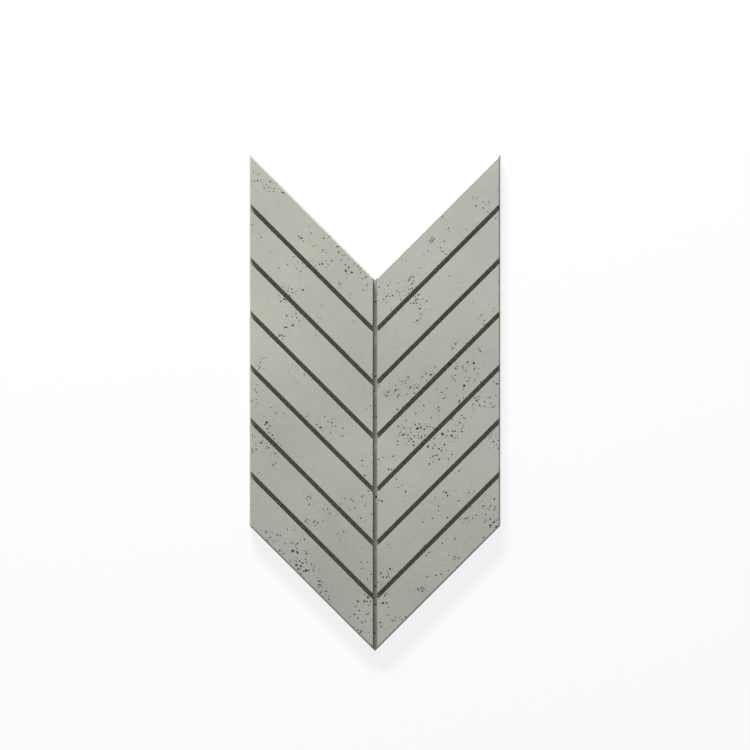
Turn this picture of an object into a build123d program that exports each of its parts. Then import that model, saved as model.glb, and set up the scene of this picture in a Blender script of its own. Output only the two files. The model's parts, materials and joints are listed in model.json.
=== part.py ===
from build123d import *

import os
from math import atan, cos, degrees, radians, sin, tan

# Chevron layout: parallel strips climb away from a straight spine, the same on both sides of it.
strips_per_side = 7
strip_pitch = 75.0        # from one groove line to the next, square across the strips
strip_angle = 45.0        # degrees between the spine and a strip
module_width = 500.0      # side to side, between the joint lines of two neighbouring panels

# Cast body
thickness = 20.0
edge_lean = 3.2           # how far each outer edge leans in, from the back to the face

# Grooves in the face
groove_depth = 10.0
groove_mouth = 9.0        # width at the face
wall_lean = 0.4           # how far each groove wall leans out, from the floor to the face

# Worked out from the sizes above. The panel's own edges are half of a groove inside the joint lines,
# so that a wall of panels repeats the same groove across every joint.
angle = radians(strip_angle)
spine_pitch = strip_pitch / sin(angle)
back_inset = groove_mouth / 2 - edge_lean
back_half_width = module_width / 2 - back_inset
climb_at_side = back_half_width / tan(angle)
lower_joint = -(strips_per_side * spine_pitch + climb_at_side) / 2
upper_joint = lower_joint + strips_per_side * spine_pitch


def back_outline():
    """The back seen square on: a point at the foot, an equal notch at the head, and upright sides."""
    foot = lower_joint + back_inset / sin(angle)
    notch = upper_joint - back_inset / sin(angle)
    return make_face(
        Polyline(
            (0, foot),
            (back_half_width, foot + climb_at_side),
            (back_half_width, notch + climb_at_side),
            (0, notch),
            (-back_half_width, notch + climb_at_side),
            (-back_half_width, foot + climb_at_side),
            close=True,
        )
    )


def cast_body():
    """The plain casting, whose edges all lean in by the same draft so that it leaves its mould."""
    draft = degrees(atan(edge_lean / thickness))
    return extrude(back_outline(), thickness, taper=draft)


def groove_section():
    """A groove's cross-section, its mouth centred on the origin and its floor below.

    Above the face it goes straight up, as far as the groove is deep, so that it cuts clear of the face.
    """
    half_mouth = groove_mouth / 2
    half_floor = half_mouth - wall_lean
    return make_face(
        Polyline(
            (-half_floor, -groove_depth),
            (half_floor, -groove_depth),
            (half_mouth, 0),
            (half_mouth, groove_depth),
            (-half_mouth, groove_depth),
            (-half_mouth, 0),
            close=True,
        )
    )


def spine_groove():
    """The straight groove between the two halves, open at the notch and at the point."""
    length = upper_joint - lower_joint + strip_pitch
    middle = (upper_joint + lower_joint) / 2
    across = Plane(origin=(0, middle + length / 2, thickness), x_dir=(1, 0, 0), z_dir=(0, -1, 0))
    return extrude(across * groove_section(), length)


def diagonal_groove(height):
    """Two grooves that meet in a mitre on the spine at this height and run out through the sides."""
    along = Vector(sin(angle), cos(angle), 0)
    overlap = groove_mouth / tan(angle)
    start = Vector(0, height, thickness) - along * overlap
    across = Plane(origin=start, x_dir=(-cos(angle), sin(angle), 0), z_dir=along)
    length = overlap + back_half_width / sin(angle) + strip_pitch
    right = split(extrude(across * groove_section(), length), Plane.YZ, keep=Keep.TOP)
    return [right, mirror(right, Plane.YZ)]


def panel():
    """The whole casting: the body with the spine groove and one pair of diagonals between strips."""
    cutters = [spine_groove()]
    for line in range(1, strips_per_side):
        cutters += diagonal_groove(lower_joint + line * spine_pitch)
    return cast_body() - cutters


os.makedirs("parts", exist_ok=True)
export_step(panel(), "parts/panel.step")
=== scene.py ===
# %% [markdown]
# # A cast concrete wall panel with a herringbone face
#
# The real panel is one casting, about half a metre wide, a metre tall and 20 mm thick. Seven slanted
# strips on each side meet on a straight spine, with grooves between them as if they were laid one by
# one. The concrete keeps the air voids that clung to its mould. This lesson rebuilds that surface
# round the measured solid: a body from one numpy grid, voids cut into it as real hollows, and a dry
# mineral finish made of shader nodes.

import json

import bmesh
import bpy
import numpy as np
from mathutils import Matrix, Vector

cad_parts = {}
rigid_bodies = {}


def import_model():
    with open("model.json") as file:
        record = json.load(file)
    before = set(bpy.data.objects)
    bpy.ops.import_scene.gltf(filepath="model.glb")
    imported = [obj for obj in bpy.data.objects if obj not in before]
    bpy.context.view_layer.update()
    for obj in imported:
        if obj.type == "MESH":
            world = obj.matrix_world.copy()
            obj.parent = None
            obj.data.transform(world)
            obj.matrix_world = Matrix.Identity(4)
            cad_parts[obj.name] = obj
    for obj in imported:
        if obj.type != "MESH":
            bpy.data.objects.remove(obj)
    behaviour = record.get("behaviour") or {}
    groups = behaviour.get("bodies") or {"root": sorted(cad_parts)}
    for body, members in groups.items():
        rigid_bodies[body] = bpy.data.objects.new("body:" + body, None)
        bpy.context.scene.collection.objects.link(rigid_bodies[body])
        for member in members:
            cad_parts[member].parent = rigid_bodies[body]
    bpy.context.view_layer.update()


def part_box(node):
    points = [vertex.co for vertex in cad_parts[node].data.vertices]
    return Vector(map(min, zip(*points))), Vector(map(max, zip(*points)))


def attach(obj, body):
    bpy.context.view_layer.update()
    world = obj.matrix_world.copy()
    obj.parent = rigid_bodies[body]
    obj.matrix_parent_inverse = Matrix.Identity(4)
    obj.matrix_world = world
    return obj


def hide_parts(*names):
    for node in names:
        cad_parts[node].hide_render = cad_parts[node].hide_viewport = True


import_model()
low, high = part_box("panel")
print("panel solid, mm:", [round(1000 * (b - a), 1) for a, b in zip(low, high)])

# %% [markdown]
# ## Sizes
#
# The outer sizes come from the solid itself. The rest are the sizes that its drawing gives: the pitch
# of the strips, the mouth and depth of the grooves, and how far the outer edges lean in towards the
# face. Everything is in metres. The back lies on z = 0, +Y runs up the spine to the notch, and +Z
# comes out of the face.

# %% Sizes of the casting
half_width = high.x
thickness = high.z
strips = 7
strip_pitch = 0.075
edge_lean = 0.0032
groove_depth = 0.010
groove_mouth = 0.009
wall_lean = 0.0004

slant = 2 ** 0.5
floor_height = thickness - groove_depth
spine_pitch = strip_pitch * slant
lower_joint = -(strips * spine_pitch + half_width) / 2
upper_joint = lower_joint + strips * spine_pitch
print("strip pitch along the spine, mm:", round(1000 * spine_pitch, 2))

# %% [markdown]
# ## The body as one grid
#
# The panel looks complicated until it is sheared: measure every point's height above the V that runs
# through it, v = y - |x|, and the chevron becomes a plain rectangle crossed by straight grooves. So
# the front is a surface of two parameters, x and v. Its height is the lower of two profiles, one
# across the spine and one across the strips. The outermost lines of the grid lie on the back plane
# and make the leaning edges, and a second grid on the same border closes the back. A box with
# Boolean grooves would give the same solid, but this way every face is placed on purpose.

# %% Profiles across the spine and across the strips
def profile_across_spine():
    """Lines of the grid across the panel: their x on the face and the height of the surface there.

    From the left: back edge, face edge, groove mouth, groove floor, spine, and the same mirrored.
    """
    mouth = groove_mouth / 2
    right = [(mouth - wall_lean, floor_height), (mouth, thickness), (half_width, thickness), (half_width, 0)]
    left = [(-x, z) for x, z in reversed(right)]
    return np.array(left + [(0, floor_height)] + right)


def profile_across_strips():
    """Lines of the grid up the panel: their v and the height of the surface there.

    A size measured square across a strip is longer by the square root of two along the spine.
    """
    inset = (groove_mouth / 2 - edge_lean) * slant
    mouth, floor = groove_mouth / 2 * slant, (groove_mouth / 2 - wall_lean) * slant
    lines = [(lower_joint + inset, 0), (lower_joint + inset, thickness)]
    for k in range(1, strips):
        centre = lower_joint + k * spine_pitch
        lines += [(centre - mouth, thickness), (centre - floor, floor_height)]
        lines += [(centre + floor, floor_height), (centre + mouth, thickness)]
    lines += [(upper_joint - inset, thickness), (upper_joint - inset, 0)]
    return np.array(lines)


across, up = profile_across_spine(), profile_across_strips()
print("grid lines:", len(across), "across,", len(up), "up")


# %% Grid of the whole casting
def casting_grid():
    """Points of the front as an array of line, line and axis.

    Height: z(x, v) = the lower of the two profiles. Lean: a border line moves in by
    edge_lean * z / thickness, square to its edge. Shear: y = v + |x|.
    """
    z = np.minimum(across[:, None, 1], up[None, :, 1])
    x = np.repeat(across[:, None, 0], len(up), axis=1)
    v = np.repeat(up[None, :, 0], len(across), axis=0)
    lean = edge_lean * z / thickness
    x[:2] += lean[:2]
    x[-2:] -= lean[-2:]
    v[:, :2] += lean[:, :2] * slant
    v[:, -2:] -= lean[:, -2:] * slant
    return np.stack([x, v + np.abs(x), z], axis=-1)


def grid_faces(numbers):
    """Quads between neighbouring lines of a grid whose points carry the given numbers."""
    here, beside = numbers[:-1], numbers[1:]
    corners = [here[:, :-1], beside[:, :-1], beside[:, 1:], here[:, 1:]]
    return np.stack(corners, axis=-1).reshape(-1, 4)


def welded(mesh):
    """Merge the points that lie on each other at the corners, and drop what that leaves without area."""
    weld_reach = 1e-6
    work = bmesh.new()
    work.from_mesh(mesh)
    bmesh.ops.remove_doubles(work, verts=work.verts, dist=weld_reach)
    bmesh.ops.dissolve_degenerate(work, edges=work.edges, dist=weld_reach)
    bmesh.ops.recalc_face_normals(work, faces=work.faces)
    work.to_mesh(mesh)
    work.free()
    return mesh


def casting():
    """The closed casting: the front grid, and a back grid that shares its border points."""
    front = casting_grid()
    back = front * [1, 1, 0]
    inner = np.zeros(front.shape[:2], bool)
    inner[1:-1, 1:-1] = True
    front_numbers = np.arange(inner.size).reshape(inner.shape)
    back_numbers = front_numbers.copy()
    back_numbers[inner] = inner.size + np.arange(inner.sum())
    points = np.concatenate([front.reshape(-1, 3), back[inner]])
    faces = np.concatenate([grid_faces(front_numbers), grid_faces(back_numbers)[:, ::-1]])
    mesh = bpy.data.meshes.new("casting")
    mesh.from_pydata(points.tolist(), [], faces.tolist())
    return welded(mesh)


body = bpy.data.objects.new("concrete_panel", casting())
bpy.context.scene.collection.objects.link(body)
print("body:", len(body.data.vertices), "points,", len(body.data.polygons), "faces")

# %% [markdown]
# ## Where the voids are
#
# Air voids in cast concrete gather where the mix was last to fill the mould, so they come in flocks
# with bare concrete between them. A noise texture would spread them evenly, and that looks like
# sponge. Here each flock has a name for its place on the panel, and lists its clear voids: how far
# right of the spine, how far up from the middle of the panel and how wide, in millimetres. The fine
# voids round them are left to chance in the next step.

# %% Flocks on the left strips, counted down from the notch
left_flocks = {
    "strip 1, outer corner": [
        (-233, 440, 4), (-208, 438, 4.5), (-230, 454, 3.5), (-241, 457, 2.8), (-245, 441, 2.5),
        (-239, 439, 2.8), (-227, 441, 2.8), (-215, 432, 2.8), (-211, 427, 3), (-220, 428, 2.5),
        (-210, 419, 2.5), (-201, 419, 3), (-186, 417, 3), (-182, 416, 4.5), (-196, 434, 2.8)],
    "strip 1, middle": [
        (-151, 329, 4), (-146, 326, 5), (-142, 320, 3), (-127, 336, 3.5), (-131, 349, 2.8),
        (-122, 310, 2.8), (-104, 302, 4), (-102, 326, 4), (-91, 329, 3.5), (-97, 297, 2.8)],
    "strip 1, beside the notch": [
        (-72, 298, 4.5), (-61, 292, 3), (-67, 282, 3), (-59, 273, 4), (-52, 268, 4.5), (-58, 261, 6),
        (-57, 255, 2.5), (-46, 258, 5.5), (-41, 275, 3), (-34, 270, 3.5), (-29, 266, 3), (-28, 258, 3.5)],
    "strip 1, root of the notch": [
        (-18, 249, 4.5), (-25, 246, 3.3), (-71, 236, 4), (-67, 232, 2.5), (-15, 232, 3), (-23, 223, 3.5)],
    "strip 1, lower edge": [(-86, 281, 4), (-110, 274, 3.8), (-105, 275, 4.5), (-93, 274, 3), (-118, 272, 2)],
    "strip 2, outer end": [(-226, 328, 3.5), (-243, 353, 2.8)],
    "strip 2, upper edge": [
        (-144, 276, 4), (-137, 269, 3), (-148, 260, 3), (-154, 265, 2.2), (-162, 290, 2.5),
        (-174, 274, 3), (-191, 267, 3), (-109, 167, 2.5), (-50, 214, 2.2)],
    "strip 2, lower edge": [
        (-183, 230, 2.5), (-172, 226, 2.5), (-165, 225, 4), (-173, 220, 3.3), (-164, 218, 3.8),
        (-157, 221, 3), (-143, 223, 4.5), (-170, 212, 4.5)],
    "strip 3, upper edge": [
        (-180, 205, 5), (-186, 201, 4), (-176, 202, 3), (-191, 213, 2.5), (-175, 172, 4),
        (-157, 176, 3.5), (-148, 175, 3), (-155, 168, 4), (-150, 161, 3), (-163, 153, 5), (-42, 163, 2.8)],
    "strip 3, lower edge": [
        (-190, 132, 4.5), (-185, 133, 4.5), (-180, 131, 3), (-194, 129, 3.5), (-119, 133, 2.8)],
    "strip 4, outer end": [
        (-224, 87, 2.5), (-227, 79, 3.3), (-233, 73, 2.6), (-229, 70, 3.6), (-231, 66, 3), (-245, 72, 4),
        (-140, 54, 3), (-140, 58, 2.3)],
    "strip 4, inner half": [
        (-136, -28, 2.8), (-100, -28, 3), (-93, -38, 3), (-86, -40, 3.5), (-116, -44, 3), (-108, -50, 5.5),
        (-88, -60, 3), (-78, -47, 3.4), (-64, -51, 3.5), (-64, -67, 2.6)],
    "strip 4, beside the spine": [
        (-25, -115, 4.2), (-24, -126, 2.8), (-20, -145, 4.2), (-6, 56, 3.2), (-23, 32, 2.4), (-9, -7, 3)],
    "strip 5, outer end": [
        (-236, 36, 2.6), (-238, 24, 3), (-234, 20, 3), (-236, 6, 3), (-246, 3, 4), (-234, -2, 2.8),
        (-207, -10, 3), (-196, -22, 3), (-181, -22, 3)],
    "strip 5, lower edge": [
        (-215, -40, 7), (-218, -44, 4.5), (-210, -46, 3.5), (-213, -52, 4), (-204, -65, 4.5),
        (-211, -60, 3.5), (-200, -72, 3.2)],
    "strip 5, beside the spine": [
        (-13, -176, 3.6), (-26, -187, 4), (-60, -191, 3.4), (-48, -192, 3.6), (-44, -195, 3),
        (-68, -202, 3), (-40, -210, 3.2), (-50, -213, 3.2), (-19, -205, 3.2), (-28, -230, 3.8),
        (-7, -222, 3.4)],
    "strip 6, outer end": [
        (-243, -66, 3.5), (-239, -70, 2.6), (-237, -83, 2.8), (-236, -93, 3.8), (-243, -93, 3.5),
        (-243, -98, 4), (-230, -139, 2.6)],
    "strip 6, upper edge": [
        (-221, -69, 4), (-226, -80, 5), (-223, -76, 3), (-215, -81, 3), (-207, -84, 3.5), (-216, -91, 3.2),
        (-211, -90, 3.5), (-193, -81, 3.2), (-186, -86, 3.2), (-198, -101, 4), (-197, -120, 3.2),
        (-203, -125, 3.6)],
    "strip 6, middle": [
        (-133, -187, 3.6), (-128, -190, 3.8), (-136, -191, 3), (-130, -202, 3), (-103, -212, 3),
        (-94, -212, 3.4), (-89, -221, 3.2), (-74, -222, 3), (-62, -256, 3.2), (-74, -261, 3.2)],
    "strip 6, lower edge": [
        (-135, -232, 3.4), (-138, -236, 4.4), (-133, -240, 3), (-120, -236, 3.6), (-122, -238, 3),
        (-113, -238, 3.4), (-104, -235, 3), (-119, -244, 3)],
    "strip 6, beside the spine": [
        (-28, -317, 3.4), (-15, -317, 3.4), (-27, -330, 3), (-7, -341, 3.4), (-15, -351, 3)],
    "strip 7, outer end": [
        (-216, -256, 4), (-217, -259, 3.5), (-204, -258, 3), (-194, -263, 4), (-188, -264, 3.2),
        (-208, -268, 4), (-201, -277, 3), (-178, -280, 2.6), (-174, -252, 3.6), (-160, -253, 3),
        (-214, -274, 4)],
    "strip 7, middle": [
        (-166, -279, 3.6), (-154, -280, 4), (-157, -283, 3.4), (-140, -272, 4.2), (-156, -290, 3.8),
        (-163, -295, 7), (-154, -298, 6), (-189, -294, 4), (-182, -300, 4), (-138, -296, 3),
        (-136, -300, 4.5)],
    "strip 7, lower edge": [
        (-168, -315, 3.6), (-158, -315, 2.8), (-150, -315, 4.4), (-138, -312, 3), (-144, -319, 4.8),
        (-136, -317, 3.8), (-126, -321, 3.2), (-156, -323, 6), (-147, -325, 5), (-170, -322, 4.5),
        (-137, -334, 6.5), (-132, -333, 3.8), (-142, -335, 3.6), (-147, -340, 3.6), (-122, -329, 2.8),
        (-122, -334, 3.6)],
    "strip 7, towards the foot": [
        (-104, -357, 3), (-112, -362, 4), (-109, -362, 3.4), (-106, -365, 3), (-112, -367, 3.4),
        (-97, -375, 4.2), (-108, -377, 4), (-91, -385, 3.4), (-92, -391, 3.8)],
    "strip 7, foot": [
        (-14, -387, 6.5), (-21, -382, 3), (-34, -395, 5.5), (-21, -395, 5), (-16, -395, 3.6), (-9, -395, 3.6),
        (-38, -405, 3.4), (-13, -403, 3), (-31, -413, 4.2), (-40, -421, 3.6), (-34, -428, 4.2),
        (-49, -425, 3), (-26, -437, 4), (-19, -435, 3.6), (-12, -457, 2.6), (-44, -447, 4),
        (-34, -452, 4), (-7, -482, 3.6)],
}
print("left flocks:", len(left_flocks), "with", sum(map(len, left_flocks.values())), "clear voids")

# %% Flocks on the right strips, counted down from the notch
right_flocks = {
    "strip 1, outer end": [
        (201, 390, 4.2), (215, 386, 3.8), (224, 378, 3.2), (214, 399, 2.6), (226, 398, 3), (202, 405, 2.8)],
    "strip 1, middle": [
        (134, 368, 3.5), (146, 345, 2.8), (113, 326, 3.5), (118, 324, 3), (110, 322, 3), (114, 320, 4),
        (111, 317, 3), (138, 320, 3.2), (130, 307, 3.3), (134, 299, 3.6), (106, 300, 3.2), (142, 294, 3),
        (181, 343, 2.8), (239, 365, 2.8)],
    "strip 1, ring of voids": [
        (69, 247, 3.4), (72, 250, 3.6), (76, 248, 3.6), (68, 243, 4), (74, 236, 4.2), (77, 241, 3),
        (74, 227, 3.5), (70, 226, 2.6), (67, 224, 3), (66, 217, 3.3), (90, 266, 2.6), (53, 285, 2.5)],
    "strip 1, beside the spine": [
        (8, 229, 3.3), (26, 232, 3.3), (30, 238, 2.5), (47, 236, 3), (44, 221, 4), (48, 217, 2.5),
        (35, 212, 4.2), (29, 210, 3.3), (23, 211, 4), (49, 212, 2.8), (51, 204, 3), (16, 204, 3),
        (24, 199, 3), (45, 192, 4), (32, 183, 3.3)],
    "strip 2, upper edge": [
        (81, 203, 4), (80, 209, 3), (71, 197, 3.3), (77, 197, 3.8), (82, 197, 3.5), (87, 214, 4.2),
        (95, 206, 3), (84, 205, 3.5), (102, 201, 3.5), (90, 195, 2.5), (89, 186, 4.5), (90, 175, 2.6),
        (90, 167, 3.5), (84, 163, 4), (78, 159, 2.5), (146, 251, 2.5)],
    "strip 3, lower edge": [
        (160, 116, 4), (153, 107, 4), (210, 173, 3), (217, 163, 2.8), (215, 155, 3.3), (236, 186, 2.8)],
    "strip 3, beside the spine": [
        (25, 20, 4), (24, 13, 3.6), (20, 15, 3), (28, 22, 3), (41, 24, 5), (41, 34, 3), (47, 26, 2.8),
        (47, 15, 4.2), (45, 11, 3.8), (8, 32, 3.4), (44, -14, 4), (53, 42, 3), (62, 44, 3), (66, 50, 4.5),
        (60, 38, 3), (71, 30, 4.8), (77, 28, 3), (78, 18, 3.6), (64, 16, 2.6), (72, 7, 4.5)],
    "strip 3, middle": [
        (102, 58, 3.6), (111, 55, 4.8), (94, 51, 4), (102, 44, 3.2), (87, 34, 3), (83, 29, 3.4),
        (120, 69, 2.8), (96, 29, 4), (145, 77, 7), (150, 76, 4)],
    "strip 4, outer half": [
        (205, 107, 3), (209, 102, 4), (184, 80, 5), (196, 78, 5.5), (160, 67, 4), (163, 72, 3.5),
        (174, 69, 3.8), (197, 66, 4.2), (206, 67, 3), (180, 63, 3.4), (152, 51, 3), (159, 54, 3.4),
        (156, 47, 3.6), (160, 43, 3.2), (204, 57, 3), (188, 47, 3), (199, 46, 3.2), (182, 43, 3.2),
        (186, 42, 3.2), (196, 41, 2.8), (177, 33, 6.5), (176, 26, 3.2), (210, 40, 4)],
    "strip 4, inner half": [
        (122, 26, 3), (143, 28, 3.2), (138, 9, 4), (176, 9, 3.2), (97, -6, 4), (126, -10, 3.5),
        (127, -17, 3.8), (112, -30, 3.4)],
    "strip 4, thick flock": [
        (46, -48, 4), (57, -51, 4), (51, -59, 3), (55, -65, 5.2), (60, -63, 3.5), (48, -65, 3),
        (65, -65, 3.2), (71, -59, 3.2), (70, -52, 3.2), (80, -44, 3.8), (78, -67, 4.5), (72, -73, 4),
        (65, -71, 2.8), (67, -77, 3.4), (76, -78, 4), (77, -85, 4), (45, -77, 4), (45, -84, 4),
        (62, -36, 3), (81, -22, 4), (84, -52, 6.5), (91, -50, 5), (88, -43, 4), (98, -53, 4.8),
        (104, -48, 4), (110, -48, 3.4), (116, -51, 4), (121, -53, 6), (99, -66, 4), (86, -66, 3.2),
        (92, -70, 4.2), (86, -71, 3)],
    "strip 4, beside the spine": [
        (7, -113, 3.6), (16, -109, 2.8), (36, -107, 4), (27, -133, 3.8), (33, -133, 3.4)],
    "strip 5, outer half": [
        (197, 9, 4), (202, 10, 3), (206, 6, 3.2), (194, -4, 3.8), (196, -13, 3), (217, 2, 2.8),
        (218, -8, 3.2), (228, 9, 3.6), (230, -2, 3), (234, -10, 3.2), (237, -7, 3.4), (240, 13, 3.2),
        (242, 37, 4.8), (235, 42, 2.8), (241, 66, 4), (172, -26, 3.5), (179, -32, 3.6), (153, -33, 5),
        (169, -40, 3.8), (176, -48, 3.4), (172, -52, 3)],
    "strip 5, inner half": [
        (134, -63, 7), (152, -66, 6), (155, -69, 3), (143, -66, 3.4), (118, -71, 3.8), (105, -88, 5.5),
        (115, -91, 3.8), (127, -92, 4.5), (132, -96, 4), (138, -84, 4.2), (118, -85, 3), (146, -57, 3),
        (154, -58, 3.2), (159, -57, 4.4), (172, -58, 4.4), (159, -71, 3)],
    "strip 5, lower edge": [
        (122, -105, 4), (115, -107, 4), (153, -103, 3.6), (127, -113, 4.4), (146, -113, 3.4),
        (114, -118, 2.8), (108, -122, 4), (153, -137, 4.5), (167, -136, 4)],
    "strip 5, beside the spine": [
        (43, -152, 3.2), (46, -169, 3), (54, -164, 3), (61, -177, 5), (8, -194, 4), (14, -196, 5)],
    "strip 6, outer end": [
        (231, -62, 3.2), (230, -69, 3), (226, -65, 3), (235, -78, 4.2), (245, -76, 3), (241, -84, 3),
        (245, -91, 3.5)],
    "strip 6, middle": [
        (136, -177, 3.8), (141, -179, 5), (144, -185, 4.8), (120, -189, 2.8), (107, -183, 3.4),
        (126, -206, 3.2), (126, -215, 3.4), (114, -230, 3.8), (144, -229, 4), (95, -238, 3.6),
        (166, -195, 3.8), (186, -179, 3.6), (197, -176, 3)],
    "strip 6, beside the spine": [
        (27, -282, 3), (30, -331, 5), (25, -335, 3.2), (12, -339, 4.2), (27, -341, 3.4), (16, -347, 4.5),
        (23, -347, 4.5), (29, -347, 3), (6, -357, 3.8), (12, -361, 3.2)],
    "strip 7, outer corner": [
        (215, -206, 4.6), (213, -196, 2.8), (237, -192, 4.2), (229, -206, 3), (239, -208, 3.4),
        (226, -212, 3.2), (237, -213, 3.4), (220, -222, 3.6), (229, -232, 4.4), (220, -234, 2.8),
        (218, -238, 3), (236, -238, 6), (241, -234, 3), (229, -244, 6), (229, -248, 3.5),
        (241, -247, 6), (245, -230, 3.5)],
    "strip 7, outer half": [
        (201, -224, 3.2), (194, -230, 3.2), (183, -230, 4.6), (178, -231, 3.8), (169, -232, 3),
        (190, -208, 3.4), (159, -271, 4), (134, -280, 3.8), (216, -268, 4.2)],
    "strip 7, lower edge": [
        (107, -298, 4), (158, -307, 4.4), (156, -312, 3), (166, -309, 3.6), (102, -304, 3.8),
        (162, -328, 3.6), (146, -334, 2.8), (131, -341, 4.4), (121, -343, 4), (103, -346, 4),
        (85, -369, 3.6), (91, -369, 3.2), (95, -369, 3.4), (87, -373, 4), (98, -372, 3.2),
        (94, -375, 4)],
    "strip 7, foot": [
        (23, -379, 3.2), (20, -383, 4), (16, -398, 5.5), (23, -398, 4.5), (27, -407, 3.2), (26, -423, 3),
        (40, -427, 3), (35, -433, 3.2), (40, -434, 3.2), (54, -431, 3.2), (61, -426, 4), (10, -437, 4.5),
        (12, -445, 3.8)],
}
print("right flocks:", len(right_flocks), "with", sum(map(len, right_flocks.values())), "clear voids")

# %% Voids in the grooves, and voids drawn out long as the mix crept along the mould
groove_voids = [
    (1, 200, 4), (1, 52, 3.5), (-1, 22, 4), (3, -28, 3), (2, -188, 5.5), (1, -365, 4.5), (1, -402, 5),
    (-1, -458, 4.5), (3, -386, 4), (-1, -388, 4), (6, -391, 4), (-7, -382, 4), (-168, 205, 5),
    (-182, 217, 3), (-176, 214, 3), (-178, 322, 3), (-172, 316, 3), (51, 194, 3), (62, 206, 3.5),
    (143, 282, 3), (193, 120, 3), (27, -45, 4.5), (68, -4, 3.5), (-116, -165, 4), (244, 173, 4),
    (244, 387, 5)]
# Right of the spine, up from the middle and length in millimetres, then the slope in degrees
long_voids = [
    (-177, 149, 8, 15), (-152, -331, 8, 0), (-110, -355, 8, 0), (-28, -455, 8, 60), (-15, -420, 7, 30),
    (167, 2, 8, 75), (202, 3, 8, -40), (208, -6, 6, -55), (-74, 309, 7, 10), (132, 20, 6, 5)]
print("voids in grooves:", len(groove_voids), "and long ones:", len(long_voids))

# %% [markdown]
# ## Fine voids, nicks and pits by chance
#
# Round each clear void lie finer ones, too small to place one by one, so they are scattered by a
# seeded random generator: the same each run. Three more kinds are left to chance in the same way.
# Single fine voids lie anywhere on the face, crumbs have broken out of the arrises of the grooves and
# the outer edges, and the sides and back have pits of their own. Each kind is an array with one row
# for a void: centre, half length, half breadth, half depth and tilt.

# %% Height of the surface under a void
def surface_height(x, y):
    """The casting's height at (x, y): the lower of the two profiles, read between their lines."""
    over_spine = np.interp(x, across[:, 0], across[:, 1])
    over_strips = np.interp(y - np.abs(x), up[:, 0], up[:, 1])
    return np.minimum(over_spine, over_strips)


print("surface in the spine groove, mm:", round(1000 * surface_height(0.0, 0.0), 1))


# %% One row for a void
sunk = 0.4
mouth_share = (1 - sunk ** 2) ** 0.5


def spread(rng, low_value, high_value, count):
    """Evenly spread random numbers between two limits."""
    return rng.uniform(low_value, high_value, count)


def void_rows(x, y, width, rng, stretch=(1.0, 1.5), depth=(0.45, 0.95), tilt=None):
    """Rows for voids whose mouths have these middles and mean widths.

    A void's middle lies below the surface by the sunk share of its half depth, so the mouth is a
    little narrower than the hollow behind it. Depth is a random share of the width, and stretch is
    the range of length against breadth.
    """
    count = len(x)
    longer = spread(rng, *stretch, count) ** 0.5
    half = width / 2 / mouth_share
    half_depth = width * spread(rng, *depth, count) / (1 + sunk)
    turn = spread(rng, 0, np.pi, count) if tilt is None else tilt
    z = surface_height(x, y) - sunk * half_depth
    return np.stack([x, y, z, half * longer, half / longer, half_depth, turn], axis=1)


print("a mouth's width against its hollow's:", round(mouth_share, 2))

# %% Rows of the clear voids
millimetre = 0.001
degree = np.pi / 180
width_by_eye = 0.86       # a dark spot looks a little wider than the void's mouth
long_width_share = 0.6    # mean width of a long void against its length

rng = np.random.default_rng(11)
flocks = [*left_flocks.values(), *right_flocks.values()]
clear = np.concatenate([*flocks, groove_voids]) * [millimetre, millimetre, width_by_eye * millimetre]
clear_rows = void_rows(*clear.T, rng)
x, y, length, slope = (np.array(long_voids) * [millimetre, millimetre, millimetre, degree]).T
long_rows = void_rows(
    x, y, length * long_width_share, rng, stretch=(2.6, 3.2), depth=(0.5, 0.7), tilt=slope)
print("clear voids:", len(clear_rows) + len(long_rows))

# %% Fine voids round the clear ones, and single ones anywhere
fine_for_each = 2.2
flock_reach = 0.0065
near_widths = (0.0009, 0.0021)
single_voids = 200
single_widths = (0.0010, 0.0022)

near_voids = int(fine_for_each * len(clear))
parents = clear[rng.integers(0, len(clear) - len(groove_voids), near_voids)]
x, y = (parents[:, :2] + rng.normal(0, flock_reach, (near_voids, 2))).T
near_rows = void_rows(x, y, spread(rng, *near_widths, near_voids), rng, depth=(0.45, 0.8))
x = spread(rng, -half_width, half_width, single_voids)
y = spread(rng, lower_joint, upper_joint, single_voids) + np.abs(x)
single_rows = void_rows(x, y, spread(rng, *single_widths, single_voids), rng, depth=(0.3, 0.6))
print("fine voids:", len(near_rows) + len(single_rows))


# %% Crumbs broken out of the arrises
crumb_halves = (0.0005, 0.0014)
crumb_stretch = (1.0, 2.0)
any_tilt = (0, 3)         # radians, nearly half a turn


def crumb_rows(count, rng):
    """Small hollows centred on the arrises, most of them along the lines across the strips.

    Of eight kinds the first lies on the spine groove's arris and the second on a side's.
    """
    kinds = 8
    side = rng.choice([-1, 1], count)
    kind = rng.integers(0, kinds, count)
    arris = up[up[:, 1] == thickness, 0]
    x = spread(rng, groove_mouth, half_width - edge_lean, count)
    y = arris[rng.integers(0, len(arris), count)] + x
    on_spine = kind == 0
    x = np.where(on_spine, groove_mouth / 2, x)
    y = np.where(on_spine, spread(rng, lower_joint, upper_joint, count), y)
    on_side = kind == 1
    x = np.where(on_side, half_width - edge_lean, x)
    y = np.where(on_side, spread(rng, lower_joint, upper_joint, count) + half_width, y)
    half = spread(rng, *crumb_halves, count)
    half_length = half * spread(rng, *crumb_stretch, count)
    z = np.full(count, thickness)
    return np.stack([side * x, y, z, half_length, half, half, spread(rng, *any_tilt, count)], axis=1)


crumbs = crumb_rows(count=150, rng=rng)
print("crumbs:", len(crumbs))


# %% Pits in the sides and in the back
side_pit_halves = (0.0006, 0.0019)
side_pit_heights = (0.15, 0.9)      # against the thickness
back_pit_halves = (0.0008, 0.003)
back_pit_depths = (0.4, 0.8)        # against the half breadth
corner_gap = 0.01         # kept free at the ends of a slanted edge, and along the back's sides
end_gap = 0.02            # kept free along the back's slanted edges, measured up the spine


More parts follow.
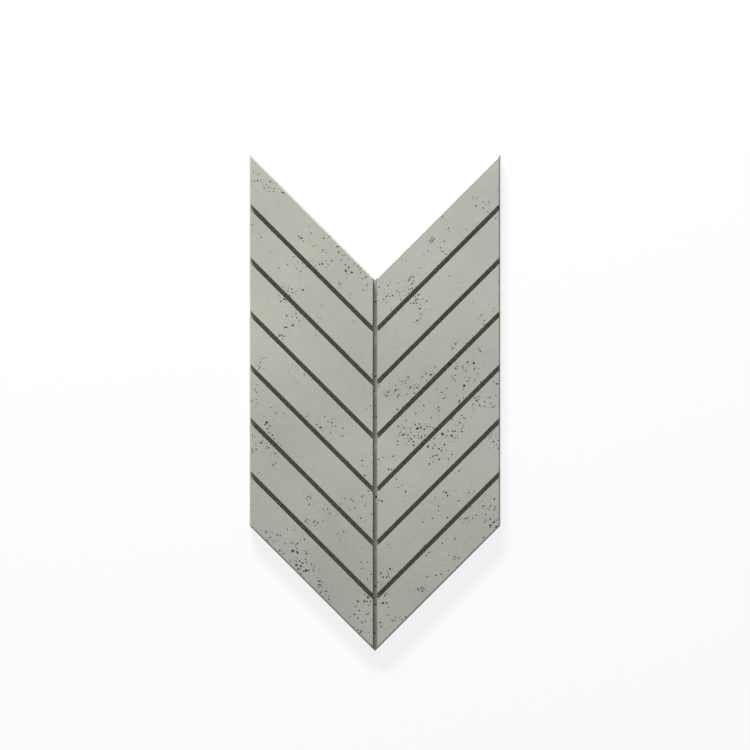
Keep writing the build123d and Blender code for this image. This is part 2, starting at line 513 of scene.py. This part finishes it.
def side_pit_rows(count, rng):
    """Round pits whose middles lie on the leaning edges, at a random height.

    Edge 0 is the upright side, edge 1 the slanted edge at the foot and edge 2 the one at the notch.
    """
    height = spread(rng, *side_pit_heights, count) * thickness
    lean = edge_lean * height / thickness
    side = rng.choice([-1, 1], count)
    edge = rng.integers(0, 3, count)
    half = spread(rng, *side_pit_halves, count)
    x = np.where(edge == 0, half_width - lean, spread(rng, corner_gap, half_width - corner_gap, count))
    inset = (groove_mouth / 2 - edge_lean + lean) * slant
    y = np.select(
        [edge == 0, edge == 1],
        [spread(rng, lower_joint, upper_joint, count) + half_width, lower_joint + inset + x],
        upper_joint - inset + x)
    return np.stack([side * x, y, height, half, half, half, np.zeros(count)], axis=1)


def back_pit_rows(count, rng):
    """Shallow pits in the back, whose middles lie a little inside the back plane."""
    length_to_breadth = 1.3
    x = spread(rng, corner_gap - half_width, half_width - corner_gap, count)
    y = spread(rng, lower_joint + end_gap, upper_joint - end_gap, count) + np.abs(x)
    half = spread(rng, *back_pit_halves, count)
    depth = half * spread(rng, *back_pit_depths, count)
    tilt = spread(rng, *any_tilt, count)
    return np.stack([x, y, sunk * depth, half * length_to_breadth, half, depth, tilt], axis=1)


side_pits = side_pit_rows(count=70, rng=rng)
back_pits = back_pit_rows(count=120, rng=rng)
print("pits in the sides and back:", len(side_pits) + len(back_pits))

# %% [markdown]
# ## Lumps to cut the voids with
#
# A void is cut with a lump of its own shape: a ball, stretched and turned, whose outline swells and
# shrinks in a few slow waves, because trapped air takes the shape that the stiff mix left it. All the
# lumps are worked out as one array. A Boolean cut needs cutters that don't overlap each other, so
# each lump joins the first layer in which it touches no other, and the layers are cut one by one.


# %% Surface of a lump
coarse_detail = (12, 5)   # points round a lump, and rings of them from pole to pole
small_detail = (8, 3)
wave_counts = np.array([2, 3, 5])
wave_swells = np.array([0.13, 0.10, 0.06])


def lump_points(rows, around, rings, rng):
    """Points of every lump at once, as an array of lump, point and axis.

    With t round the lump and p from pole to pole, a point lies at the middle plus
    (half length * cos p cos t, half breadth * cos p sin t, half depth * sin p), turned by the tilt.
    The first two are multiplied by 1 + the sum of swell * cos(k t + phase) for each wave count k.
    """
    t = np.linspace(0, 2 * np.pi, around, endpoint=False)
    p = np.linspace(-np.pi / 2, np.pi / 2, rings + 2)[1:-1]
    swell = rng.normal(0, 1, (len(rows), len(wave_counts))) * wave_swells
    phase = rng.uniform(0, 2 * np.pi, (len(rows), len(wave_counts)))
    waves = swell[:, :, None] * np.cos(wave_counts[:, None] * t + phase[:, :, None])
    outline = (1 + waves.sum(axis=1))[:, None, :] * np.cos(p)[:, None]
    half_length, half_breadth, half_depth, tilt = rows[:, 3:, None, None].transpose(1, 0, 2, 3)
    along = half_length * outline * np.cos(t)
    aside = half_breadth * outline * np.sin(t)
    deep = half_depth * np.sin(p)[:, None] + 0 * outline
    ring = np.stack([
        along * np.cos(tilt) - aside * np.sin(tilt),
        along * np.sin(tilt) + aside * np.cos(tilt),
        deep,
    ], axis=-1).reshape(len(rows), -1, 3)
    pole = np.stack([0 * half_depth, 0 * half_depth, half_depth], axis=-1).reshape(len(rows), 1, 3)
    return np.concatenate([-pole, ring, pole], axis=1) + rows[:, None, :3]


def lump_faces(count, around, rings):
    """Quads between the rings and triangles at the poles, numbered on for every lump."""
    ring = 1 + np.arange(rings * around).reshape(rings, around)
    beside = np.roll(ring, -1, axis=1)
    pole = 1 + rings * around
    quads = np.stack([ring[:-1], beside[:-1], beside[1:], ring[1:]], axis=-1).reshape(-1, 4)
    below = np.stack([0 * ring[0], beside[0], ring[0]], axis=-1)
    above = np.stack([0 * ring[0] + pole, ring[-1], beside[-1]], axis=-1)
    step = (pole + 1) * np.arange(count)[:, None, None]
    triangles = (np.concatenate([below, above]) + step).reshape(-1, 3)
    return (quads + step).reshape(-1, 4).tolist() + triangles.tolist()


print("faces of a coarse lump:", len(lump_faces(1, *coarse_detail)))
print("faces of a small lump:", len(lump_faces(1, *small_detail)))


# %% Layers in which no two lumps touch
def share_out(rows):
    """The layer of each lump: the first one in which it touches no lump that is already there.

    A lump reaches as far as its longest half size, with room for its swell.
    """
    room_for_swell = 1.35
    reach = room_for_swell * rows[:, 3:6].max(axis=1)
    layer = np.zeros(len(rows), int)
    for i in range(1, len(rows)):
        gap = np.linalg.norm(rows[:i, :3] - rows[i, :3], axis=1)
        taken = set(layer[:i][gap < reach[:i] + reach[i]])
        layer[i] = min(set(range(len(taken) + 1)) - taken)
    return layer


coarse = np.concatenate([clear_rows, long_rows])
small = np.concatenate([near_rows, single_rows, crumbs, side_pits, back_pits])
print("layers:", share_out(coarse).max() + 1, "of coarse and", share_out(small).max() + 1, "of small lumps")


# %% Cut the voids out of the casting
hollow_slot = 1


def add_empty_slots(mesh):
    """Give a mesh its first two material slots, still empty, so that the cut keeps their numbers."""
    for _ in range(hollow_slot + 1):
        mesh.materials.append(None)


def cutters(rows, around, rings, rng):
    """One object for each layer of lumps, whose faces carry the number of the hollow material."""
    layer = share_out(rows)
    points = lump_points(rows, around, rings, rng)
    made = []
    for k in range(layer.max() + 1):
        chosen = points[layer == k]
        mesh = bpy.data.meshes.new("lumps")
        mesh.from_pydata(chosen.reshape(-1, 3).tolist(), [], lump_faces(len(chosen), around, rings))
        add_empty_slots(mesh)
        mesh.polygons.foreach_set("material_index", np.full(len(mesh.polygons), hollow_slot))
        made.append(bpy.data.objects.new("lumps", mesh))
        bpy.context.scene.collection.objects.link(made[-1])
    return made


def cut_out(target, tools):
    """Subtract each tool from the target in turn, keep the result as its mesh, and drop the tools."""
    for tool in tools:
        cut = target.modifiers.new("voids", "BOOLEAN")
        cut.operation = "DIFFERENCE"
        cut.solver = "MANIFOLD"
        cut.object = tool
    whole = target.evaluated_get(bpy.context.evaluated_depsgraph_get())
    result = bpy.data.meshes.new_from_object(whole)
    target.modifiers.clear()
    target.data = result
    for tool in tools:
        bpy.data.meshes.remove(tool.data)


add_empty_slots(body.data)
cut_out(body, cutters(coarse, *coarse_detail, rng) + cutters(small, *small_detail, rng))
print("with voids:", len(body.data.vertices), "points,", len(body.data.polygons), "faces")

# %% [markdown]
# ## Which concrete is where
#
# The casting is one mix, but its skin differs. The face is dense and pale where it lay against the
# mould. The grooves are painted darker than the face, as painted shade that deepens the shade they
# already fall into. Inside a void the skin is rough, and it is painted darker too, as painted shade.
# The back was levelled with a board. So each face of the mesh gets one of four slots by where it
# lies, and the hollows are shaded smooth.

# %% Sort the faces into slots
face_slot, groove_slot, back_slot = 0, 2, 3
slot_count = 4


def sort_faces(mesh):
    """Give every polygon its slot by where its middle lies; the hollows keep theirs.

    A groove's polygons lie no further from its centre line than half its mouth, and between its
    floor and the face. The back's polygons lie on z = 0.
    """
    hair = 1e-5
    centre = np.empty(len(mesh.polygons) * 3)
    slot = np.empty(len(mesh.polygons), np.int32)
    mesh.polygons.foreach_get("center", centre)
    mesh.polygons.foreach_get("material_index", slot)
    x, y, z = centre.reshape(-1, 3).T
    lines = lower_joint + spine_pitch * np.arange(1, strips)
    to_diagonal = np.abs(y - np.abs(x) - lines[:, None]).min(axis=0) / slant
    near_line = np.minimum(to_diagonal, np.abs(x)) < groove_mouth / 2 + hair
    in_groove = near_line & (z > floor_height - hair) & (z < thickness - hair)
    skin = np.select([in_groove, z < hair], [groove_slot, back_slot], face_slot)
    slot = np.where(slot == hollow_slot, slot, skin).astype(np.int32)
    mesh.polygons.foreach_set("material_index", slot)
    mesh.polygons.foreach_set("use_smooth", slot == hollow_slot)
    return np.bincount(slot, minlength=slot_count)


print("faces on the face, in hollows, in grooves, on the back:", sort_faces(body.data))

# %% [markdown]
# ## Effects as node groups
#
# The four skins share three effects, each a node group with named sockets. Cement clouds are the slow
# patches of lighter, darker, greyer and more olive paste. Sand grain is the fine sand that shows
# through it. Pinholes are the bubbles too small to cut: dots with a little depth, painted dark as the
# shade inside them. All read the panel's own coordinates in metres, so they stay on the casting from
# any side.

# %% Helpers for nodes
def new_group(name, inputs, outputs):
    """An empty node group with these sockets, and its input and output nodes."""
    tree = bpy.data.node_groups.new(name, "ShaderNodeTree")
    for label, kind, value in inputs:
        socket = tree.interface.new_socket(label, in_out="INPUT", socket_type=kind)
        if value is not None:
            socket.default_value = value
    for label, kind in outputs:
        tree.interface.new_socket(label, in_out="OUTPUT", socket_type=kind)
    return tree, tree.nodes.new("NodeGroupInput"), tree.nodes.new("NodeGroupOutput")


def maths(tree, operation, first, second):
    """A Math node on two values or sockets, and its result."""
    node = tree.nodes.new("ShaderNodeMath")
    node.operation = operation
    for socket, value in zip(node.inputs, (first, second)):
        if isinstance(value, (int, float)):
            socket.default_value = value
        else:
            tree.links.new(value, socket)
    return node.outputs[0]


def noise(tree, place, scale, detail, roughness=0.5):
    """A Noise Texture on this place, its scale a value or a socket, and its grey output."""
    node = tree.nodes.new("ShaderNodeTexNoise")
    node.inputs["Detail"].default_value = detail
    node.inputs["Roughness"].default_value = roughness
    tree.links.new(place, node.inputs["Vector"])
    if isinstance(scale, (int, float)):
        node.inputs["Scale"].default_value = scale
    else:
        tree.links.new(scale, node.inputs["Scale"])
    return node.outputs[0]


def stretch_range(tree, value, low_in, high_in, low_out=0.0, high_out=1.0):
    """A Map Range node that turns one range into another and stops at its ends."""
    node = tree.nodes.new("ShaderNodeMapRange")
    tree.links.new(value, node.inputs["Value"])
    ends = {"From Min": low_in, "From Max": high_in, "To Min": low_out, "To Max": high_out}
    for label, number in ends.items():
        node.inputs[label].default_value = number
    return node.outputs[0]


def mix_colours(tree, factor, first, second, blend="MIX"):
    """A Mix node between two colours, each a colour or a socket, and its result.

    The node's sockets for colours are its inputs 6 and 7 and its output 2.
    """
    node = tree.nodes.new("ShaderNodeMix")
    node.data_type = "RGBA"
    node.blend_type = blend
    for socket, value in ((node.inputs[0], factor), (node.inputs[6], first), (node.inputs[7], second)):
        if isinstance(value, (int, float, tuple)):
            socket.default_value = value
        else:
            tree.links.new(value, socket)
    return node.outputs[2]


helpers = (new_group, maths, noise, stretch_range, mix_colours)
print("helpers:", [helper.__name__ for helper in helpers])

# %% Cement clouds
hue_scale, slow_scale, quick_scale = 9.0, 4.0, 45.0
hue_range = (0.35, 0.65)
slow_share = 0.75


def cement_clouds():
    """Slow patches: one noise turns grey paste to olive, a slower and a quicker one shade it."""
    tree, given, result = new_group(
        "cement_clouds",
        [("Place", "NodeSocketVector", None), ("Grey", "NodeSocketColor", (0.4, 0.4, 0.4, 1)),
         ("Olive", "NodeSocketColor", (0.4, 0.4, 0.35, 1)), ("Contrast", "NodeSocketFloat", 0.1)],
        [("Colour", "NodeSocketColor"), ("Shade", "NodeSocketFloat")])
    place = given.outputs["Place"]
    hue = stretch_range(tree, noise(tree, place, hue_scale, detail=2.0), *hue_range)
    paste = mix_colours(tree, hue, given.outputs["Grey"], given.outputs["Olive"])
    slow = noise(tree, place, slow_scale, detail=2.0)
    quick = noise(tree, place, quick_scale, detail=4.0, roughness=0.6)
    slow_part = maths(tree, "MULTIPLY", slow, slow_share)
    quick_part = maths(tree, "MULTIPLY", quick, 1 - slow_share)
    shade = maths(tree, "ADD", slow_part, quick_part)
    swing = maths(tree, "MULTIPLY", maths(tree, "SUBTRACT", shade, 0.5), given.outputs["Contrast"])
    level = maths(tree, "ADD", swing, 1.0)
    grey = tree.nodes.new("ShaderNodeCombineColor")
    for socket in grey.inputs:
        tree.links.new(level, socket)
    tree.links.new(mix_colours(tree, 1.0, paste, grey.outputs[0], "MULTIPLY"), result.inputs["Colour"])
    tree.links.new(shade, result.inputs["Shade"])
    return tree


clouds_group = cement_clouds()
print("node group:", clouds_group.name)

# %% Sand grain
wide_to_fine = 0.22       # scale of the coarser noise against that of the grain
fine_share = 0.4
fleck_range = (0.58, 0.74)


def sand_grain():
    """Fine sand: sharp noise at the grain's size, with a coarser one under it, as height and flecks."""
    tree, given, result = new_group(
        "sand_grain",
        [("Place", "NodeSocketVector", None), ("Grains to a metre", "NodeSocketFloat", 1200.0)],
        [("Height", "NodeSocketFloat"), ("Fleck", "NodeSocketFloat")])
    place, grains = given.outputs["Place"], given.outputs["Grains to a metre"]
    fine = noise(tree, place, grains, detail=3.0, roughness=0.6)
    wide_grains = maths(tree, "MULTIPLY", grains, wide_to_fine)
    wide = noise(tree, place, wide_grains, detail=3.0, roughness=0.55)
    fine_part = maths(tree, "MULTIPLY", fine, fine_share)
    wide_part = maths(tree, "MULTIPLY", wide, 1 - fine_share)
    tree.links.new(maths(tree, "ADD", fine_part, wide_part), result.inputs["Height"])
    tree.links.new(stretch_range(tree, wide, *fleck_range), result.inputs["Fleck"])
    return tree


grain_group = sand_grain()
print("node group:", grain_group.name)

# %% Pinholes
dot_sizes = (0.05, 0.13)  # radius against the width of a cell


def pinholes():
    """Dots at random cell points: a Voronoi cell keeps its dot when its random red is under Share."""
    tree, given, result = new_group(
        "pinholes",
        [("Place", "NodeSocketVector", None), ("Cells to a metre", "NodeSocketFloat", 160.0),
         ("Share", "NodeSocketFloat", 0.3)],
        [("Mask", "NodeSocketFloat"), ("Height", "NodeSocketFloat")])
    cell = tree.nodes.new("ShaderNodeTexVoronoi")
    tree.links.new(given.outputs["Place"], cell.inputs["Vector"])
    tree.links.new(given.outputs["Cells to a metre"], cell.inputs["Scale"])
    parts = tree.nodes.new("ShaderNodeSeparateColor")
    tree.links.new(cell.outputs["Color"], parts.inputs[0])
    kept = maths(tree, "LESS_THAN", parts.outputs[0], given.outputs["Share"])
    size = stretch_range(tree, parts.outputs[1], 0.0, 1.0, *dot_sizes)
    dot = maths(tree, "SUBTRACT", 1.0, maths(tree, "DIVIDE", cell.outputs["Distance"], size))
    mask = maths(tree, "MULTIPLY", maths(tree, "MAXIMUM", dot, 0.0), kept)
    tree.links.new(mask, result.inputs["Mask"])
    tree.links.new(maths(tree, "MULTIPLY", mask, -1.0), result.inputs["Height"])
    return tree


pinhole_group = pinholes()
print("node group:", pinhole_group.name)

# %% One recipe for the four skins
shade_range = (0.3, 0.7)
sand_colour, sand_strength = (0.62, 0.60, 0.53, 1), 0.10
# Pinholes are painted near black: painted shade for holes too small to cut.
pinhole_shade_colour, pinhole_shade_strength = (0.13, 0.13, 0.11, 1), 0.55
pinhole_cells = 170.0     # to a metre


def concrete_skin(name, grey, olive, contrast, grains, relief, pinhole_share, roughness):
    """A concrete material: cloudy paste, flecks of sand, pinholes painted dark as their shade, and their
    relief as a bump.

    relief is the bump's height in metres, and roughness is the pair between which the clouds swing.
    """
    material = bpy.data.materials.new(name)
    material.use_nodes = True
    tree = material.node_tree
    shader = tree.nodes["Principled BSDF"]
    place = tree.nodes.new("ShaderNodeTexCoord").outputs["Object"]

    def placed(group, **values):
        """One of the shared groups, on this skin's coordinates and with these inputs."""
        node = tree.nodes.new("ShaderNodeGroup")
        node.node_tree = group
        tree.links.new(place, node.inputs["Place"])
        for label, value in values.items():
            node.inputs[label.replace("_", " ")].default_value = value
        return node

    clouds = placed(clouds_group, Grey=(*grey, 1), Olive=(*olive, 1), Contrast=contrast)
    grain = placed(grain_group, Grains_to_a_metre=grains)
    dots = placed(pinhole_group, Cells_to_a_metre=pinhole_cells, Share=pinhole_share)
    pale_sand = maths(tree, "MULTIPLY", grain.outputs["Fleck"], sand_strength)
    speckled = mix_colours(tree, pale_sand, clouds.outputs["Colour"], sand_colour)
    # The pinhole mask paints dark dots into the colour: painted shade inside the pinholes.
    painted_shade_dots = maths(tree, "MULTIPLY", dots.outputs["Mask"], pinhole_shade_strength)
    tree.links.new(mix_colours(tree, painted_shade_dots, speckled, pinhole_shade_colour), shader.inputs["Base Color"])
    rough = stretch_range(tree, clouds.outputs["Shade"], *shade_range, *roughness)
    tree.links.new(rough, shader.inputs["Roughness"])
    bump = tree.nodes.new("ShaderNodeBump")
    bump.inputs["Distance"].default_value = relief
    relief_sum = maths(tree, "ADD", grain.outputs["Height"], dots.outputs["Height"])
    tree.links.new(relief_sum, bump.inputs["Height"])
    tree.links.new(bump.outputs["Normal"], shader.inputs["Normal"])
    return material


print("pinhole cells are", round(1000 / pinhole_cells, 1), "mm wide")

# %% The four skins
face_skin = concrete_skin(
    "face_concrete", grey=(0.449, 0.455, 0.408), olive=(0.443, 0.454, 0.390), contrast=0.60,
    grains=1300.0, relief=0.00022, pinhole_share=0.35, roughness=(0.78, 0.92))
# The hollow skin is painted darker than the face: painted shade inside the voids, besides their rougher
# finish.
hollow_painted_shade_skin = concrete_skin(
    "hollow_concrete_painted_shade", grey=(0.30, 0.30, 0.265), olive=(0.29, 0.295, 0.245), contrast=0.30,
    grains=900.0, relief=0.00035, pinhole_share=0.0, roughness=(0.88, 0.98))
# The groove skin is painted darker than the face: painted shade on top of the grooves' own shade.
groove_painted_shade_skin = concrete_skin(
    "groove_concrete_painted_shade", grey=(0.347, 0.348, 0.298), olive=(0.340, 0.346, 0.282), contrast=0.25,
    grains=1100.0, relief=0.0003, pinhole_share=0.3, roughness=(0.85, 0.96))
back_skin = concrete_skin(
    "back_concrete", grey=(0.43, 0.43, 0.40), olive=(0.41, 0.41, 0.37), contrast=0.40,
    grains=420.0, relief=0.0006, pinhole_share=0.5, roughness=(0.85, 0.96))
skins = [face_skin, hollow_painted_shade_skin, groove_painted_shade_skin, back_skin]
for number, skin in enumerate(skins):
    if number < len(body.data.materials):
        body.data.materials[number] = skin
    else:
        body.data.materials.append(skin)
print("skins:", [m.name for m in body.data.materials])

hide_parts("panel")
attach(body, "root")

# %% [markdown]
# ## Studio
#
# The panel lies on a plain pale floor. One soft lamp stands low beyond its head, so the grooves fall
# into shade and the light fades gently from head to foot. The world adds a pale light that is
# stronger near the horizon, as in a light tent: it reaches the leaning edges, and hardly the bottoms
# of the grooves. For the camera the floor is mostly plain white, with just enough of its own shading
# left to hold the panel's shadow.

# %% Floor
pale_paint = (0.8, 0.8, 0.8, 1)
hair_gap = 0.0001         # keeps the floor and the panel's back from lying in one plane


def plane(name, size, height):
    """A square of the given size that lies at the given height."""
    mesh = bpy.data.meshes.new(name)
    corners = np.array([(-1, -1, 0), (1, -1, 0), (1, 1, 0), (-1, 1, 0)]) * size / 2
    mesh.from_pydata((corners + [0, 0, height]).tolist(), [], [(0, 1, 2, 3)])
    made = bpy.data.objects.new(name, mesh)
    bpy.context.scene.collection.objects.link(made)
    return made


def seen_directly(tree):
    """1 where the camera sees a surface itself or in a mirror or through glass, and 0 for other light."""
    path = tree.nodes.new("ShaderNodeLightPath")
    direct = maths(tree, "MAXIMUM", path.outputs["Is Camera Ray"], path.outputs["Is Glossy Ray"])
    return maths(tree, "MAXIMUM", direct, path.outputs["Is Transmission Ray"])


def white_floor(share, level):
    """A pale diffuse floor that the camera sees as this share of plain white over its own shading."""
    material = bpy.data.materials.new("floor_white")
    material.use_nodes = True
    tree = material.node_tree
    tree.nodes.clear()
    paint = tree.nodes.new("ShaderNodeBsdfDiffuse")
    paint.inputs["Color"].default_value = pale_paint
    plain = tree.nodes.new("ShaderNodeEmission")
    plain.inputs["Strength"].default_value = level
    both = tree.nodes.new("ShaderNodeMixShader")
    out = tree.nodes.new("ShaderNodeOutputMaterial")
    tree.links.new(maths(tree, "MULTIPLY", seen_directly(tree), share), both.inputs[0])
    tree.links.new(paint.outputs[0], both.inputs[1])
    tree.links.new(plain.outputs[0], both.inputs[2])
    tree.links.new(both.outputs[0], out.inputs["Surface"])
    return material


floor = plane("floor", size=30.0, height=low.z - hair_gap)
floor.data.materials.append(white_floor(share=0.78, level=1.06))
print("floor:", floor.name)


# %% World
def tent_world(overhead, horizon):
    """A world whose strength grows from overhead to the horizon, and is plain white to the camera."""
    world = bpy.data.worlds.new("light_tent")
    world.use_nodes = True
    tree = world.node_tree
    tree.nodes.clear()
    direction = tree.nodes.new("ShaderNodeTexCoord")
    axes = tree.nodes.new("ShaderNodeSeparateXYZ")
    tree.links.new(direction.outputs["Generated"], axes.inputs[0])
    lamp = stretch_range(tree, axes.outputs["Z"], 0.0, 1.0, horizon, overhead)
    pick = tree.nodes.new("ShaderNodeMix")
    pick.inputs["B"].default_value = 1.0
    tree.links.new(seen_directly(tree), pick.inputs["Factor"])
    tree.links.new(lamp, pick.inputs["A"])
    shell = tree.nodes.new("ShaderNodeBackground")
    out = tree.nodes.new("ShaderNodeOutputWorld")
    tree.links.new(pick.outputs["Result"], shell.inputs["Strength"])
    tree.links.new(shell.outputs[0], out.inputs["Surface"])
    return world


bpy.context.scene.world = tent_world(overhead=0.18, horizon=0.62)
print("world:", bpy.context.scene.world.name)


# %% Lamp
def soft_lamp(name, distance, elevation, azimuth, width, height, power):
    """A soft rectangle that faces the panel's middle, in metres, watts and degrees.

    Its azimuth is counted left from +Y, and its elevation up from the floor.
    """
    e, a = np.radians(elevation), np.radians(azimuth)
    toward = Vector((-np.sin(a) * np.cos(e), np.cos(a) * np.cos(e), np.sin(e)))
    data = bpy.data.lights.new(name, "AREA")
    data.shape = "RECTANGLE"
    data.size, data.size_y, data.energy = width, height, power
    lamp = bpy.data.objects.new(name, data)
    lamp.location = toward * distance
    lamp.rotation_euler = toward.to_track_quat("Z", "Y").to_euler()
    lamp.visible_camera = False
    bpy.context.scene.collection.objects.link(lamp)
    return lamp


key = soft_lamp("key", distance=5.7, elevation=19.5, azimuth=13.0, width=2.2, height=0.8, power=640.0)
print("key lamp, watts:", key.data.energy)

# %% Camera, straight above the panel
picture_width = 750       # pixels
metres_per_pixel = 0.00198533
picture_middle = 0.0544   # how far it lies from the panel's middle towards the notch
camera_height = 3

camera_data = bpy.data.cameras.new("camera")
camera_data.type = "ORTHO"
camera_data.ortho_scale = picture_width * metres_per_pixel
camera = bpy.data.objects.new("camera", camera_data)
bpy.context.scene.collection.objects.link(camera)
camera.location = (0, picture_middle, camera_height)
bpy.context.scene.camera = camera
bpy.context.scene.view_settings.view_transform = "Standard"
print("picture width, mm:", round(1000 * camera_data.ortho_scale))

# %% Done
print("scene built")
